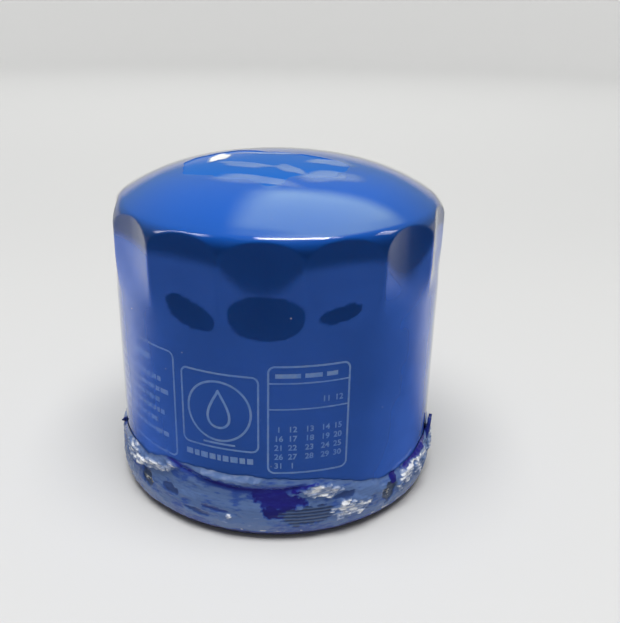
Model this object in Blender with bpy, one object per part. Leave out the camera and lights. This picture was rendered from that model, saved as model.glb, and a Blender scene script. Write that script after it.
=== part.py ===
"""Spin-on oil filter, standing on its gasket.

It has the canister, the mounting end, the anti-drain-back valve, the element and the bypass valve.

Every dimension below is in millimetres. +Z is the filter's axis and z = 0 is the gasket's sealing face.
"""

import math

import bmesh
import bpy
from mathutils import Vector

MM = 0.001

# Canister
HEIGHT = 76.0
CAN_SHEET = 0.4
CAN_R = 37.75
WALL_R = 38.0
RIDGE_R = 38.35
SHOULDER_BEND = 5.5
SHOULDER_R = RIDGE_R - SHOULDER_BEND
SHOULDER_Z = 64.1
CREASE_TURN = math.radians(59.0)
CREASE_R = SHOULDER_R + SHOULDER_BEND * math.cos(CREASE_TURN)
CREASE_Z = SHOULDER_Z + SHOULDER_BEND * math.sin(CREASE_TURN)
DOME_POWER = 3.1
CAN_FOOT_Z = 2.9
HOOK_R = 38.15
HOOK_TOP = 7.2

# Wrench flutes round the closed end
FLUTES = 14
FLUTE_DEPTH = 1.6
FLUTE_LEAN = 0.3
FLUTE_FIRST_CUSP = math.radians(-82.1)
FLUTE_LOW = 48.5
FLUTE_FULL = 58.5
FLUTE_EDGE = 0.1

# Seaming lid and gasket
LID_SHEET = 0.4
GROOVE_IN_R = 27.8
GROOVE_OUT_R = 33.2
GROOVE_Z = 5.1
LID_PANEL_Z = 3.6
LID_RIM_Z = 2.2
CHUCK_R = 36.8
SKIRT_R = 38.75
SKIRT_TOP = 7.7
GASKET_IN_R = 28.5
GASKET_OUT_R = 32.5
GASKET_H = 4.6

# Base plate, M20 x 1.5 thread
PLATE_R = 36.5
PLATE_Z = 5.6
PLATE_T = 3.5
HUB_R = 12.6
HUB_TOP = 16.2
THREAD_MAJOR_R = 10.0
THREAD_MINOR_R = 9.19
THREAD_PITCH = 1.5
INLETS = 8
INLET_R = 3.25
INLET_CIRCLE_R = 21.5

# Anti-drain-back valve
COLLAR_IN_R = 12.9
COLLAR_OUT_R = 15.4
COLLAR_LIP_R = 11.0
COLLAR_TOP = 17.6
FLAP_IN_R = 15.8
FLAP_OUT_R = 29.5
FLAP_Z = 9.5

# Element
CAP_SHEET = 0.5
CAP_R = 33.6
LOWER_CAP_Z = 18.15
UPPER_CAP_Z = 62.25
CAP_RIM_H = 3.2
SEAT_R = 6.5
POTTING_H = 1.0
MEDIA_IN_R = 17.2
MEDIA_OUT_R = 32.4
MEDIA_Z = (20.0, 60.4)
PLEATS = 36
PAPER_T = 0.55
TUBE_R = 15.3
TUBE_T = 0.5
TUBE_Z = (18.8, 61.6)
TUBE_HOLE_R = 2.4

# Bypass valve
CAGE_R = 9.6
CAGE_T = 0.6
CAGE_FLANGE_R = 12.6
CAGE_Z = (48.5, 61.7)
WINDOW = (8.0, 8.0)
WINDOW_Z = 54.6
POPPET_R = 8.6
POPPET_Z = (59.8, 60.6)
BOSS_R = 4.6
STEM_R = 1.8
STEM_Z = 46.5
BYPASS_SPRING_R = 6.1
BYPASS_WIRE_R = 0.45
BYPASS_TURNS = 5.0

# Support spring
SUPPORT_R = (16.5, 12.5)
SUPPORT_Z = (63.7, 73.7)
SUPPORT_WIRE_R = 0.8
SUPPORT_TURNS = 3.5

# Shrink film
FILM_T = 0.16
FILM_HOLE_R = 18.0
FILM_WALL_R = 38.03
FILM_GAP = 0.25
FILM_SEAM_R = 39.15
FILM_FOOT_Z = 1.5
FILM_FOOT_R = 34.6

ROUND = 56
INNER_ROUND = 40

MATERIALS = {
    "blue_paint": ((0.012, 0.065, 0.36, 1.0), 0.0, 0.18),
    "tinned_steel": ((0.62, 0.62, 0.60, 1.0), 1.0, 0.32),
    "galvanised_steel": ((0.52, 0.53, 0.54, 1.0), 1.0, 0.42),
    "bright_steel": ((0.70, 0.70, 0.70, 1.0), 1.0, 0.25),
    "spring_steel": ((0.36, 0.36, 0.37, 1.0), 1.0, 0.35),
    "nitrile_rubber": ((0.018, 0.018, 0.018, 1.0), 0.0, 0.55),
    "silicone_rubber": ((0.36, 0.10, 0.05, 1.0), 0.0, 0.50),
    "filter_paper": ((0.62, 0.43, 0.17, 1.0), 0.0, 0.85),
    "plastisol": ((0.50, 0.16, 0.08, 1.0), 0.0, 0.45),
    "nylon": ((0.75, 0.73, 0.68, 1.0), 0.0, 0.40),
    "clear_film": ((0.85, 0.90, 0.95, 0.35), 0.0, 0.12),
}


def clear_scene():
    """Removes what Blender starts with."""
    for obj in list(bpy.data.objects):
        bpy.data.objects.remove(obj, do_unlink=True)


def material(key, node):
    """A Principled material of the node's own, from the row for key."""
    colour, metallic, roughness = MATERIALS[key]
    made = bpy.data.materials.new(f"{node}_{key}")
    made.use_nodes = True
    shader = made.node_tree.nodes["Principled BSDF"]
    shader.inputs["Base Color"].default_value = (*colour[:3], 1.0)
    shader.inputs["Metallic"].default_value = metallic
    shader.inputs["Roughness"].default_value = roughness
    shader.inputs["Alpha"].default_value = colour[3]
    made.diffuse_color = colour
    return made


def add_object(name, data, key):
    """Links data as the named object, with its material."""
    obj = bpy.data.objects.new(name, data)
    bpy.context.scene.collection.objects.link(obj)
    data.materials.append(material(key, name))
    return obj


def add_mesh(name, bm, key, sharp=35.0):
    """Writes bm as the named object, facing out and shaded smooth but for its sharp edges."""
    bmesh.ops.remove_doubles(bm, verts=bm.verts, dist=1e-7)
    bmesh.ops.recalc_face_normals(bm, faces=bm.faces)
    mesh = bpy.data.meshes.new(name)
    bm.to_mesh(mesh)
    bm.free()
    mesh.shade_smooth()
    mesh.set_sharp_from_angle(angle=math.radians(sharp))
    return add_object(name, mesh, key)


def lathe(profile, segments=INNER_ROUND, phase=0.0):
    """Spins a closed profile of (r, z) round the axis."""
    bm = bmesh.new()
    turn = Vector((math.cos(phase), math.sin(phase), 0.0))
    ring = [bm.verts.new(turn * (r * MM) + Vector((0, 0, z * MM))) for r, z in profile]
    edges = [bm.edges.new((a, b)) for a, b in zip(ring, ring[1:] + ring[:1])]
    bmesh.ops.spin(
        bm,
        geom=ring + edges,
        axis=(0, 0, 1),
        cent=(0, 0, 0),
        angle=2 * math.pi,
        steps=segments,
        use_merge=True,
    )
    return bm


def rounded(points, radius, steps=2):
    """A closed profile with each corner turned by an arc-like bend of about this radius."""
    made = []
    count = len(points)
    for i, corner in enumerate(points):
        here = Vector(corner)
        before = Vector(points[i - 1]) - here
        after = Vector(points[(i + 1) % count]) - here
        reach = min(radius, before.length * 0.45, after.length * 0.45)
        start = here + before.normalized() * reach
        end = here + after.normalized() * reach
        for k in range(steps + 1):
            t = k / steps
            point = start * (1 - t) ** 2 + here * 2 * t * (1 - t) + end * t**2
            made.append(tuple(point))
    return made


def sheet(path, thickness):
    """The closed profile of sheet metal whose middle follows the path of (r, z)."""
    points = [Vector(p) for p in path]
    left = []
    right = []
    for i, here in enumerate(points):
        sides = []
        if i > 0:
            sides.append((here - points[i - 1]).normalized())
        if i + 1 < len(points):
            sides.append((points[i + 1] - here).normalized())
        along = sum(sides, Vector((0.0, 0.0))).normalized()
        across = Vector((-along.y, along.x))
        scale = max(abs(along.dot(sides[0])), 0.5)
        offset = across * (thickness / 2 / scale)
        left.append(tuple(here + offset))
        right.append(tuple(here - offset))
    return left + right[::-1]


def bent(path, radius, steps=2):
    """The open path with its inner corners rounded."""
    made = [path[0]]
    for before, corner, after in zip(path, path[1:], path[2:]):
        here = Vector(corner)
        back = Vector(before) - here
        ahead = Vector(after) - here
        reach = min(radius, back.length * 0.45, ahead.length * 0.45)
        start = here + back.normalized() * reach
        end = here + ahead.normalized() * reach
        for k in range(steps + 1):
            t = k / steps
            point = start * (1 - t) ** 2 + here * 2 * t * (1 - t) + end * t**2
            made.append(tuple(point))
    return made + [path[-1]]


def smooth(t):
    """A ramp from 0 to 1 with level ends."""
    t = min(max(t, 0.0), 1.0)
    return t * t * (3 - 2 * t)


def dome_z(r):
    """Height of the canister's outer face at this radius."""
    return CREASE_Z + (HEIGHT - CREASE_Z) * (1 - (r / CREASE_R) ** DOME_POWER)


def wall_r(z):
    """Radius of the plain wall's outer face: it swells a little into the ridges between the flutes."""
    return WALL_R + (RIDGE_R - WALL_R) * smooth((z - FLUTE_LOW) / (FLUTE_FULL - FLUTE_LOW))


def flute_depth(angle, z):
    """How far a wrench flute takes the outer face in: it runs out where the shoulder bends away."""
    pitch = 2 * math.pi / FLUTES
    across = ((angle - FLUTE_FIRST_CUSP) / pitch) % 1.0 * 2 - 1
    hollow = 1 - across * across
    depth = FLUTE_DEPTH * smooth((z - FLUTE_LOW) / (FLUTE_FULL - FLUTE_LOW))
    depth += FLUTE_LEAN * smooth((z - FLUTE_FULL) / (CREASE_Z - FLUTE_FULL))
    rise = min(max(z - SHOULDER_Z, 0.0), SHOULDER_BEND)
    bent_in = SHOULDER_BEND - math.sqrt(SHOULDER_BEND**2 - rise**2)
    proud = depth * hollow - bent_in
    if proud <= -FLUTE_EDGE:
        return 0.0
    if proud >= FLUTE_EDGE:
        return proud
    return (proud + FLUTE_EDGE) ** 2 / (4 * FLUTE_EDGE)


def can_path():
    """The middle of the canister's sheet, from the tip of its seam hook up and over to the axis."""
    half = CAN_SHEET / 2
    foot = CAN_R - half
    path = [(HOOK_R, HOOK_TOP), (HOOK_R, CAN_FOOT_Z), (foot, CAN_FOOT_Z), (foot, 9.5)]
    heights = (14.0, 30.0, 48.5, 51.0, 53.5, 56.0, 58.5, 62.0, SHOULDER_Z)
    path += [(wall_r(z) - half, z) for z in heights]
    for turn in (12.0, 24.0, 36.0, 48.0, 59.0):
        angle = math.radians(turn)
        bend = SHOULDER_BEND - half
        path.append((SHOULDER_R + bend * math.cos(angle), SHOULDER_Z + bend * math.sin(angle)))
    radii = (32.0, 27.0, 20.0, 11.0, 0.0)
    path += [(r, dome_z(r) - half * 1.08) for r in radii]
    return path


def build_can():
    """The drawn cup with its flutes, and the hook that the lid is rolled over."""
    profile = sheet(can_path(), CAN_SHEET)
    profile = [(max(r, 0.0), z) for r, z in profile]
    bm = lathe(profile, ROUND, FLUTE_FIRST_CUSP)
    for vert in bm.verts:
        r = math.hypot(vert.co.x, vert.co.y)
        if r < 0.95 * CREASE_R * MM:
            continue
        depth = flute_depth(math.atan2(vert.co.y, vert.co.x), vert.co.z / MM)
        vert.co.xy *= 1 - depth * MM / r
    add_mesh("canister", bm, "blue_paint", 40)


def build_lid():
    """The thin lid: gasket groove, panel, chuck wall and the skirt rolled round the canister's hook."""
    groove = [
        (GROOVE_IN_R, LID_PANEL_Z - 0.6),
        (GROOVE_IN_R, GROOVE_Z),
        (GROOVE_OUT_R, GROOVE_Z),
    ]
    rim = [
        (GROOVE_OUT_R, LID_PANEL_Z),
        (CHUCK_R, LID_PANEL_Z),
        (CHUCK_R, LID_RIM_Z),
        (SKIRT_R, LID_RIM_Z),
        (SKIRT_R, SKIRT_TOP),
        (CAN_R + 0.25, SKIRT_TOP),
    ]
    path = groove + bent(rim, 0.5, 1)
    bm = lathe(sheet(path, LID_SHEET), ROUND, FLUTE_FIRST_CUSP)
    add_mesh("seaming_lid", bm, "tinned_steel", 50)


def build_gasket():
    """The square-cut sealing ring."""
    half = [
        (GASKET_IN_R, 0.0),
        (GASKET_OUT_R, 0.0),
        (GASKET_OUT_R, GASKET_H),
        (GASKET_IN_R, GASKET_H),
    ]
    add_mesh("gasket", lathe(rounded(half, 0.5, 1), ROUND), "nitrile_rubber", 60)


def thread_profile(low, high):
    """Points down the bore, from high to low, with a ridge at each pitch."""
    ridges = int((high - low) / THREAD_PITCH)
    made = []
    for k in range(ridges):
        z = high - k * THREAD_PITCH
        made.append((THREAD_MAJOR_R, z - THREAD_PITCH * 0.06))
        made.append((THREAD_MINOR_R, z - THREAD_PITCH * 0.56))
    made.append((THREAD_MAJOR_R, low + 0.2))
    return made


def cutter(name, bm):
    """A hidden object that only cuts."""
    obj = add_mesh(name, bm, "bright_steel")
    obj.hide_render = True
    obj.display_type = "WIRE"
    return obj


def cut(obj, tool):
    """Takes the tool out of the object."""
    step = obj.modifiers.new(tool.name, "BOOLEAN")
    step.operation = "DIFFERENCE"
    step.solver = "EXACT"
    step.object = tool


def add_bar(bm, centre, direction, radius, length, sides=10):
    """A capped cylinder in bm, along the direction and about the centre."""
    turn = Vector((0, 0, 1)).rotation_difference(Vector(direction)).to_matrix().to_4x4()
    turn.translation = Vector(centre) * MM
    bmesh.ops.create_cone(
        bm,
        cap_ends=True,
        segments=sides,
        radius1=radius * MM,
        radius2=radius * MM,
        depth=length * MM,
        matrix=turn,
    )


def build_base_plate():
    """The thick plate with the threaded hub and the ring of oil inlets."""
    top = PLATE_Z + PLATE_T
    profile = [
        (THREAD_MAJOR_R + 0.5, PLATE_Z),
        (PLATE_R - 0.6, PLATE_Z),
        (PLATE_R, PLATE_Z + 0.6),
        (PLATE_R, top - 0.5),
        (PLATE_R - 0.5, top),
        (HUB_R + 0.2, top),
        (HUB_R, top + 0.3),
        (HUB_R, HUB_TOP - 0.5),
        (HUB_R - 0.5, HUB_TOP),
        (THREAD_MAJOR_R + 0.4, HUB_TOP),
    ]
    profile += thread_profile(PLATE_Z + 0.3, HUB_TOP - 0.4)
    plate = add_mesh("base_plate", lathe(profile), "galvanised_steel", 30)
    bm = bmesh.new()
    for k in range(INLETS):
        angle = 2 * math.pi * (k + 0.5) / INLETS
        centre = (INLET_CIRCLE_R * math.cos(angle), INLET_CIRCLE_R * math.sin(angle))
        add_bar(bm, (*centre, PLATE_Z + PLATE_T / 2), (0, 0, 1), INLET_R, 3 * PLATE_T, 14)
    cut(plate, cutter("inlet_cutter", bm))


def build_drain_valve():
    """The collar that grips the hub, and the flap that covers the inlets."""
    collar = [
        (COLLAR_IN_R, FLAP_Z),
        (COLLAR_OUT_R, FLAP_Z),
        (COLLAR_OUT_R, COLLAR_TOP),
        (COLLAR_LIP_R, COLLAR_TOP),
        (COLLAR_LIP_R, COLLAR_TOP - 0.9),
        (COLLAR_IN_R, COLLAR_TOP - 0.9),
    ]
    add_mesh("drain_valve_collar", lathe(collar), "silicone_rubber", 50)
    flap = [
        (FLAP_IN_R, FLAP_Z + 2.0),
        (FLAP_OUT_R - 1.6, FLAP_Z + 0.3),
        (FLAP_OUT_R - 1.2, FLAP_Z),
        (FLAP_OUT_R - 0.2, FLAP_Z),
        (FLAP_OUT_R, FLAP_Z + 0.4),
        (FLAP_OUT_R - 0.5, FLAP_Z + 1.2),
        (FLAP_IN_R, FLAP_Z + 3.1),
    ]
    add_mesh("drain_valve_flap", lathe(flap), "silicone_rubber", 50)


def build_end_caps():
    """The two pressed caps that close the element, with the adhesive inside each."""
    lower = [
        (COLLAR_LIP_R + 0.2, LOWER_CAP_Z),
        (CAP_R - CAP_SHEET / 2, LOWER_CAP_Z),
        (CAP_R - CAP_SHEET / 2, LOWER_CAP_Z + CAP_RIM_H),
    ]
    bm = lathe(sheet(bent(lower, 0.7, 1), CAP_SHEET))
    add_mesh("lower_end_cap", bm, "galvanised_steel", 50)
    upper = [
        (SEAT_R, UPPER_CAP_Z),
        (CAP_R - CAP_SHEET / 2, UPPER_CAP_Z),
        (CAP_R - CAP_SHEET / 2, UPPER_CAP_Z - CAP_RIM_H),
    ]
    bm = lathe(sheet(bent(upper, 0.7, 1), CAP_SHEET))
    add_mesh("upper_end_cap", bm, "galvanised_steel", 50)
    beads = {
        "lower_potting": LOWER_CAP_Z + CAP_SHEET / 2 + 0.3,
        "upper_potting": UPPER_CAP_Z - CAP_SHEET / 2 - 0.3 - POTTING_H,
    }
    for name, low in beads.items():
        ring = [
            (MEDIA_IN_R - 0.6, low),
            (MEDIA_OUT_R + 0.4, low),
            (MEDIA_OUT_R + 0.4, low + POTTING_H),
            (MEDIA_IN_R - 0.6, low + POTTING_H),
        ]
        add_mesh(name, lathe(ring), "plastisol", 50)


def pleat_loop(fold_r, root_r, fold_half, root_half):
    """One outline of the folded paper, four corners to a pleat."""
    made = []
    step = 2 * math.pi / PLEATS
    for k in range(PLEATS):
        for middle, r, half in ((k, fold_r, fold_half), (k + 0.5, root_r, root_half)):
            for side in (-1, 1):
                angle = middle * step + side * half / r
                made.append((r * math.cos(angle), r * math.sin(angle)))
    return made


def build_media():
    """The pleated paper, and the clip that joins its two ends on one pleat."""
    outer = pleat_loop(MEDIA_OUT_R, MEDIA_IN_R + PAPER_T, 2.0 * PAPER_T, 0.25)
    inner = pleat_loop(MEDIA_OUT_R - PAPER_T, MEDIA_IN_R, 0.9 * PAPER_T, 0.25 + PAPER_T)
    bm = bmesh.new()
    rings = [
        [bm.verts.new((x * MM, y * MM, z * MM)) for x, y in loop]
        for loop, z in (
            (outer, MEDIA_Z[0]),
            (outer, MEDIA_Z[1]),
            (inner, MEDIA_Z[1]),
            (inner, MEDIA_Z[0]),
        )
    ]
    count = len(outer)
    for low, high in zip(rings, rings[1:] + rings[:1]):
        for i in range(count):
            j = (i + 1) % count
            bm.faces.new((low[i], low[j], high[j], high[i]))
    add_mesh("pleated_media", bm, "filter_paper", 20)
    channel = [
        (28.6, 1.45),
        (28.6, 1.75),
        (32.95, 1.75),
        (32.95, -1.75),
        (28.6, -1.75),
        (28.6, -1.45),
        (32.65, -1.45),
        (32.65, 1.45),
    ]
    bm = bmesh.new()
    face = bm.faces.new([bm.verts.new((x * MM, y * MM, 22.0 * MM)) for x, y in channel])
    grown = bmesh.ops.extrude_face_region(bm, geom=[face])["geom"]
    tops = [v for v in grown if isinstance(v, bmesh.types.BMVert)]
    bmesh.ops.translate(bm, verts=tops, vec=(0, 0, 36.6 * MM))
    add_mesh("media_seam_clip", bm, "bright_steel", 20)


def build_centre_tube():
    """The perforated tube inside the paper."""
    low, high = TUBE_Z
    profile = [
        (TUBE_R, low),
        (TUBE_R + TUBE_T, low),
        (TUBE_R + TUBE_T, high),
        (TUBE_R, high),
    ]
    tube = add_mesh("centre_tube", lathe(profile, 40), "galvanised_steel", 30)
    rows = 5
    for row in range(rows):
        z = low + (high - low) * (row + 0.7) / (rows + 0.4)
        bars = 2
        for bar in range(bars):
            angle = math.pi * (bar + 0.5 * (row % 2)) / bars + math.radians(4.5)
            bm = bmesh.new()
            across = (math.cos(angle), math.sin(angle), 0.0)
            add_bar(bm, (0, 0, z), across, TUBE_HOLE_R, 3 * TUBE_R, 8)
            cut(tube, cutter(f"tube_cutter_{row}_{bar}", bm))


def build_bypass_valve():
    """The cage under the upper cap, with the poppet, its seal and its spring."""
    low, high = CAGE_Z
    half = CAGE_T / 2
    path = [
        (STEM_R + 0.5, low + half),
        (CAGE_R, low + half),
        (CAGE_R, high - half),
        (CAGE_FLANGE_R, high - half),
    ]
    bm = lathe(sheet(bent(path, 0.6, 1), CAGE_T), 32)
    cage = add_mesh("bypass_cage", bm, "tinned_steel", 50)
    for k in range(2):
        bm = bmesh.new()
        bmesh.ops.create_cube(bm, size=1.0)
        bmesh.ops.scale(bm, verts=bm.verts, vec=(3 * CAGE_R * MM, WINDOW[0] * MM, WINDOW[1] * MM))
        bmesh.ops.translate(bm, verts=bm.verts, vec=(0, 0, WINDOW_Z * MM))
        tool = cutter(f"window_cutter_{k}", bm)
        tool.rotation_euler.z = math.pi * (k + 0.5) / 2
        cut(cage, tool)
    under, over = POPPET_Z
    poppet = [
        (0.0, STEM_Z),
        (STEM_R - 0.3, STEM_Z),
        (STEM_R, STEM_Z + 0.4),
        (STEM_R, under - 0.6),
        (STEM_R + 0.6, under),
        (POPPET_R - 0.2, under),
        (POPPET_R, under + 0.2),
        (POPPET_R, over - 0.2),
        (POPPET_R - 0.2, over),
        (BOSS_R, over),
        (BOSS_R, over + 0.7),
        (BOSS_R - 0.8, over + 1.1),
        (0.0, over + 1.3),
    ]
    add_mesh("bypass_poppet", lathe(poppet, 28), "nylon", 40)
    seal = [
        (BOSS_R + 0.3, over + 0.3),
        (POPPET_R, over + 0.3),
        (POPPET_R, over + 1.1),
        (BOSS_R + 0.3, over + 1.1),
    ]
    add_mesh("bypass_seal", lathe(rounded(seal, 0.2, 1), 28), "nitrile_rubber", 50)


def add_coil(name, radii, heights, wire_r, turns, steps):
    """A round-wire spring with a level turn at each end."""
    curve = bpy.data.curves.new(name, "CURVE")
    curve.dimensions = "3D"
    curve.bevel_depth = wire_r * MM
    curve.bevel_resolution = 1
    curve.use_fill_caps = True
    count = int(turns * steps) + 1
    line = curve.splines.new("POLY")
    line.points.add(count - 1)
    ends = 0.75 / turns
    closed = 2.3 * wire_r / (heights[1] - heights[0])
    for i, point in enumerate(line.points):
        t = i / (count - 1)
        if t < ends:
            share = closed * t / ends
        elif t > 1 - ends:
            share = 1 - closed * (1 - t) / ends
        else:
            share = closed + (1 - 2 * closed) * (t - ends) / (1 - 2 * ends)
        angle = 2 * math.pi * turns * t
        r = (radii[0] + (radii[1] - radii[0]) * t) * MM
        z = (heights[0] + (heights[1] - heights[0]) * share) * MM
        point.co = (r * math.cos(angle), r * math.sin(angle), z, 1.0)
    line.use_smooth = True
    add_object(name, curve, "spring_steel")


def build_springs():
    """The bypass spring in its cage, and the spring that holds the element down."""
    rest = 0.3 + BYPASS_WIRE_R
    heights = (CAGE_Z[0] + CAGE_T + rest, POPPET_Z[0] - rest)
    radii = (BYPASS_SPRING_R, BYPASS_SPRING_R)
    add_coil("bypass_spring", radii, heights, BYPASS_WIRE_R, BYPASS_TURNS, 18)
    add_coil("support_spring", SUPPORT_R, SUPPORT_Z, SUPPORT_WIRE_R, SUPPORT_TURNS, 22)


def build_film():
    """The clear film shrunk over the outside, open at the dome and under the rim."""
    path = [(r, dome_z(r) + FILM_GAP) for r in (FILM_HOLE_R, 26.0, 32.0)]
    bend = SHOULDER_BEND + FILM_GAP
    for turn in (59.0, 44.0, 29.0, 14.0, 0.0):
        angle = math.radians(turn)
        path.append((SHOULDER_R + bend * math.cos(angle), SHOULDER_Z + bend * math.sin(angle)))
    path += [
        (RIDGE_R + FILM_GAP, FLUTE_FULL),
        (WALL_R + FILM_GAP, FLUTE_LOW),
        (WALL_R + FILM_GAP, 14.0),
        (FILM_WALL_R, 10.0),
        (FILM_SEAM_R, 8.3),
        (FILM_SEAM_R, 2.6),
        (FILM_SEAM_R - 0.9, FILM_FOOT_Z),
        (FILM_FOOT_R, FILM_FOOT_Z),
    ]
    bm = lathe(sheet(path, FILM_T), ROUND, FLUTE_FIRST_CUSP)
    add_mesh("shrink_film", bm, "clear_film", 50)


def main():
    clear_scene()
    build_can()
    build_lid()
    build_gasket()
    build_base_plate()
    build_drain_valve()
    build_end_caps()
    build_media()
    build_centre_tube()
    build_bypass_valve()
    build_springs()
    build_film()


main()
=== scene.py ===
"""Looks of the spin-on oil filter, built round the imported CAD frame: metres, +Z up, its axis on Z."""

import random
from math import ceil, cos, exp, pi, radians, sin, sqrt, tan

import bpy
import numpy as np
from mathutils import Matrix, Vector, noise


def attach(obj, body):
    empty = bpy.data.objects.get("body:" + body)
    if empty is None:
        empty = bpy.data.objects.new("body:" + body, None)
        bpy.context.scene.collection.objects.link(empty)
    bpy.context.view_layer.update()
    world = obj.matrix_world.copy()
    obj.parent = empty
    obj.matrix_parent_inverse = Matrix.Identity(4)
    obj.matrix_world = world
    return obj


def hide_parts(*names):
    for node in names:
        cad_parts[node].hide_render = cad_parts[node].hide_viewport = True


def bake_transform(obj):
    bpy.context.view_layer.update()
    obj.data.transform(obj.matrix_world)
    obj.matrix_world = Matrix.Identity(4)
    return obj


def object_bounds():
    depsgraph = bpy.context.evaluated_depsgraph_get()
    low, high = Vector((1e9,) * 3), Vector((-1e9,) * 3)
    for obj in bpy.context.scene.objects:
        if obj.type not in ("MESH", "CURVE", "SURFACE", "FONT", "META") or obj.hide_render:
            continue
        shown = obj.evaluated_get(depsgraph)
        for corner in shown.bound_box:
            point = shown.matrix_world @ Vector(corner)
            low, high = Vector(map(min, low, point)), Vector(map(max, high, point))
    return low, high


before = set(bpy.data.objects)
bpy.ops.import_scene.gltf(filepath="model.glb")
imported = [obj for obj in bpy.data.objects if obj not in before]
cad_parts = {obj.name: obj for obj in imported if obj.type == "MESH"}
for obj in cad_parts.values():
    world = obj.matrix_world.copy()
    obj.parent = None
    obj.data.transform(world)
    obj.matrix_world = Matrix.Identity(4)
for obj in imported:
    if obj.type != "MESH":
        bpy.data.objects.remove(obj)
CAD_LOW, CAD_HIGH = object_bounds()

MM = 0.001
SHELL = "canister_shell"
ELEMENT = "element"
POPPET = "poppet"

# The canister, as its solid has it (mm)
TOP = CAD_HIGH.z / MM
CAN_R = 37.75
WALL_R = 38.0
RIDGE_R = 38.35
SHEET = 0.4
SEAM_R = 38.15
SEAM_Z = 2.9
SEAM_TOP = 7.2
BEND = 5.5
BEND_R = RIDGE_R - BEND
BEND_Z = 64.1
CREASE_TURN = radians(59.0)
CREASE_R = BEND_R + BEND * cos(CREASE_TURN)
CREASE_Z = BEND_Z + BEND * sin(CREASE_TURN)
DOME_POWER = 3.1
FLUTES = 14
FLUTE_PITCH = 2 * pi / FLUTES
FLUTE_DEPTH = 1.6
FLUTE_LEAN = 0.3
FLUTE_LOW = 48.5
FLUTE_FULL = 58.5
FLUTE_EDGE = 0.14
RIDGE_SOFT = 0.05
FIRST_CUSP = radians(-82.1)
PLEATS = 36
PAPER = 0.55

# Film (mm), and its look
FILM_GAP = 0.14
OPENING_CENTRE = (-3.0, -4.5)
OPENING_ANGLES = (-112.0, -84.0, -58.0, -25.0, 8.0, 40.0, 84.0, 112.0, 150.0, 184.0, 214.0)
OPENING_RADII = (12.2, 15.3, 11.8, 17.4, 18.6, 14.2, 13.2, 18.0, 20.0, 18.6, 14.2)
DOME_VEIL = 0.05
WALL_VEIL = 0.26
VEIL_COLOUR = (0.07, 0.21, 0.86, 1)
FILM_TINT = (0.95, 0.97, 1.0, 1)
FILM_GLOSS = 1.5
FILM_IOR = 1.5
FILM_ROUGH = 0.06

# Studio: sizes in mm, the cards' distance in m, and the dark side's angles in degrees round from -Y
WORLD_LIGHT = 0.22
STAGE_R = 950.0
STAGE_BEND = 450.0
CARD_DISTANCE = 1.1
DARK_START = 43.0
DARK_R = 750.0
DARK_GAP = 2.0
DARK_SOLID = 78.0
DARK_END = 113.0
DARK_TURN = 4.0


# Meshes


def smooth(t):
    t = np.clip(t, 0.0, 1.0)
    return t * t * (3 - 2 * t)


def dome_z(r):
    """Height of the canister's outer face at this radius, in mm."""
    return CREASE_Z + (TOP - CREASE_Z) * (1 - (np.abs(r) / CREASE_R) ** DOME_POWER)


def link(name, mesh, mat, body=SHELL):
    obj = bpy.data.objects.new(name, mesh)
    bpy.context.scene.collection.objects.link(obj)
    mesh.materials.append(mat)
    if body:
        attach(obj, body)
    return obj


def outward(points, faces):
    """True if the faces point away from the middle of the filter, or out of a closed body."""
    corners = np.array([f[:3] for f in faces])
    a, b, c = (points[corners[:, i]] - np.array((0.0, 0.0, 0.04)) for i in range(3))
    return float((a * np.cross(b, c)).sum()) > 0


# For each mesh of grid(), which of its points are in use, or None where all are
KEPT = {}


def grid(name, points, mat, body=SHELL, closed_rings=True, closed_columns=False, sharp=None):
    """A quad surface from points[ring, step, xyz] in mm. A ring whose points all meet becomes one pole."""
    points = np.asarray(points, float)
    rings, steps = points.shape[:2]
    index = np.arange(rings * steps).reshape(rings, steps)
    rows = rings if closed_columns else rings - 1
    columns = steps if closed_rings else steps - 1
    faces = []
    pole = [bool(np.ptp(points[i], axis=0).max() < 1e-7) for i in range(rings)]
    for i in range(rings):
        if pole[i]:
            index[i] = index[i, 0]
    for i in range(rows):
        j = (i + 1) % rings
        for k in range(columns):
            m = (k + 1) % steps
            quad = (index[i, k], index[i, m], index[j, m], index[j, k])
            corners = tuple(dict.fromkeys(int(v) for v in quad))
            if len(corners) > 2:
                faces.append(corners)
    flat = points.reshape(-1, 3) * MM
    if not outward(flat, faces):
        faces = [f[::-1] for f in faces]
    used = np.zeros(len(flat), bool)
    used[np.concatenate([np.array(f) for f in faces])] = True
    order = np.cumsum(used) - 1
    mesh = bpy.data.meshes.new(name)
    mesh.from_pydata(flat[used].tolist(), [], [[int(order[v]) for v in f] for f in faces])
    mesh.shade_smooth()
    if sharp:
        mesh.set_sharp_from_angle(angle=radians(sharp))
    obj = link(name, mesh, mat, body)
    KEPT[name] = None if used.all() else used
    return obj


def set_attribute(obj, name, values):
    """Stores one number per point for the shaders, in the order of grid()'s points."""
    values = np.asarray(values, np.float32).reshape(-1)
    if KEPT[obj.name] is not None:
        values = values[KEPT[obj.name]]
    made = obj.data.attributes.new(name, "FLOAT", "POINT")
    made.data.foreach_set("value", values)


def spun(profile, steps):
    """points[ring, step] of a profile of (r, z) turned round the axis, in even steps or at these angles."""
    profile = np.asarray(profile, float)
    angle = np.arange(steps) * 2 * pi / steps if isinstance(steps, int) else steps
    r = profile[:, 0][:, None]
    z = np.repeat(profile[:, 1][:, None], len(angle), axis=1)
    return np.stack([r * np.cos(angle), r * np.sin(angle), z], axis=-1)


def polar(points):
    return np.hypot(points[..., 0], points[..., 1]), np.arctan2(points[..., 1], points[..., 0])


def facing(points):
    """Degrees from -Y towards +X."""
    return np.degrees(np.arctan2(points[..., 0], -points[..., 1]))


def from_front(angle, r, z):
    """Points at these angles, in radians from -Y towards +X."""
    return np.stack(np.broadcast_arrays(r * np.sin(angle), -r * np.cos(angle), z), axis=-1)


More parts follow.
